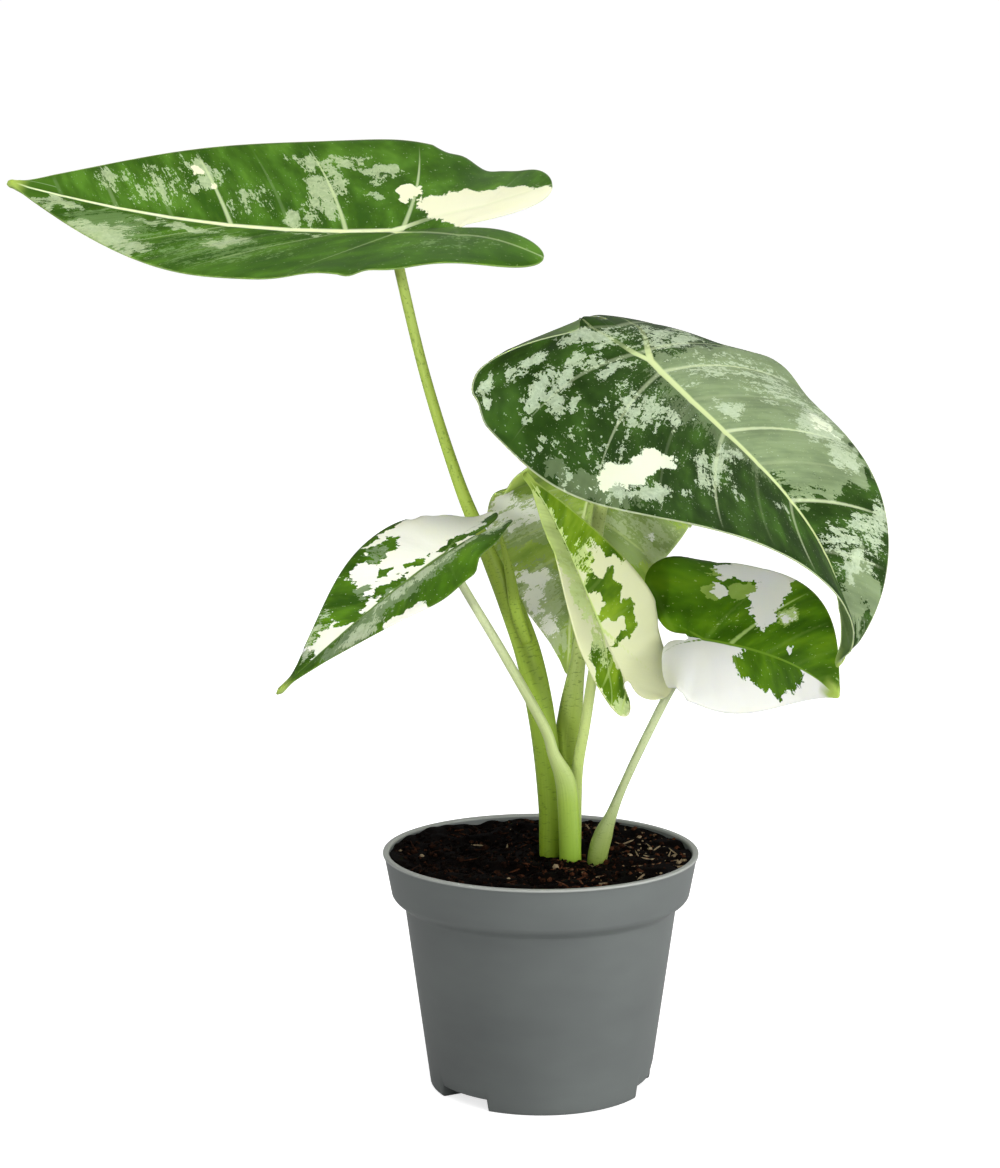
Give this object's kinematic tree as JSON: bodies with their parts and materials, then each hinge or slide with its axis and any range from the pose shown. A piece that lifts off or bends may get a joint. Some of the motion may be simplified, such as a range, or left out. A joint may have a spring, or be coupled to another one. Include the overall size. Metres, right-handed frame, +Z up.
{
  "type": "variegated alocasia frydek plant in a nursery pot",
  "caption": "Young variegated alocasia with long-stalked, arrow-shaped green and cream leaves, growing in soil in a tapered round plastic nursery pot.",
  "frame": {"origin": "middle of the pot's underside, on the surface it stands on", "axes": "+Z up along the pot's axis; -Y is the front of the plant, +X to its right, and the tallest leaf points to -X"},
  "size_m": [0.0913, 0.0449, 0.0997],
  "materials": {
    "pot_plastic": "smooth moulded grey polypropylene with a soft sheen",
    "potting_soil": "moist dark peat, crumbly and matt, with fine pale grains",
    "corm_skin": "papery brown ringed skin",
    "petiole_green": "smooth satin yellow-green stalk with short darker dashes",
    "petiole_pale": "smooth satin pale green stalk",
    "leaf_velvet": "velvety dark green with cream and grey-green variegation and pale veins",
    "leaf_young": "soft satin light green and cream variegation with pale veins"
  },
  "bodies": {
    "root": {"pot": "pot_plastic", "soil": "potting_soil", "corm": "corm_skin", "petiole_tall": "petiole_green", "petiole_broad": "petiole_green", "petiole_left": "petiole_pale", "petiole_young": "petiole_pale", "petiole_rear": "petiole_green", "petiole_small": "petiole_pale", "blade_tall": "leaf_velvet", "blade_broad": "leaf_velvet", "blade_left": "leaf_velvet", "blade_young": "leaf_young", "blade_rear": "leaf_velvet", "blade_small": "leaf_velvet"}
  },
  "joints": []
}
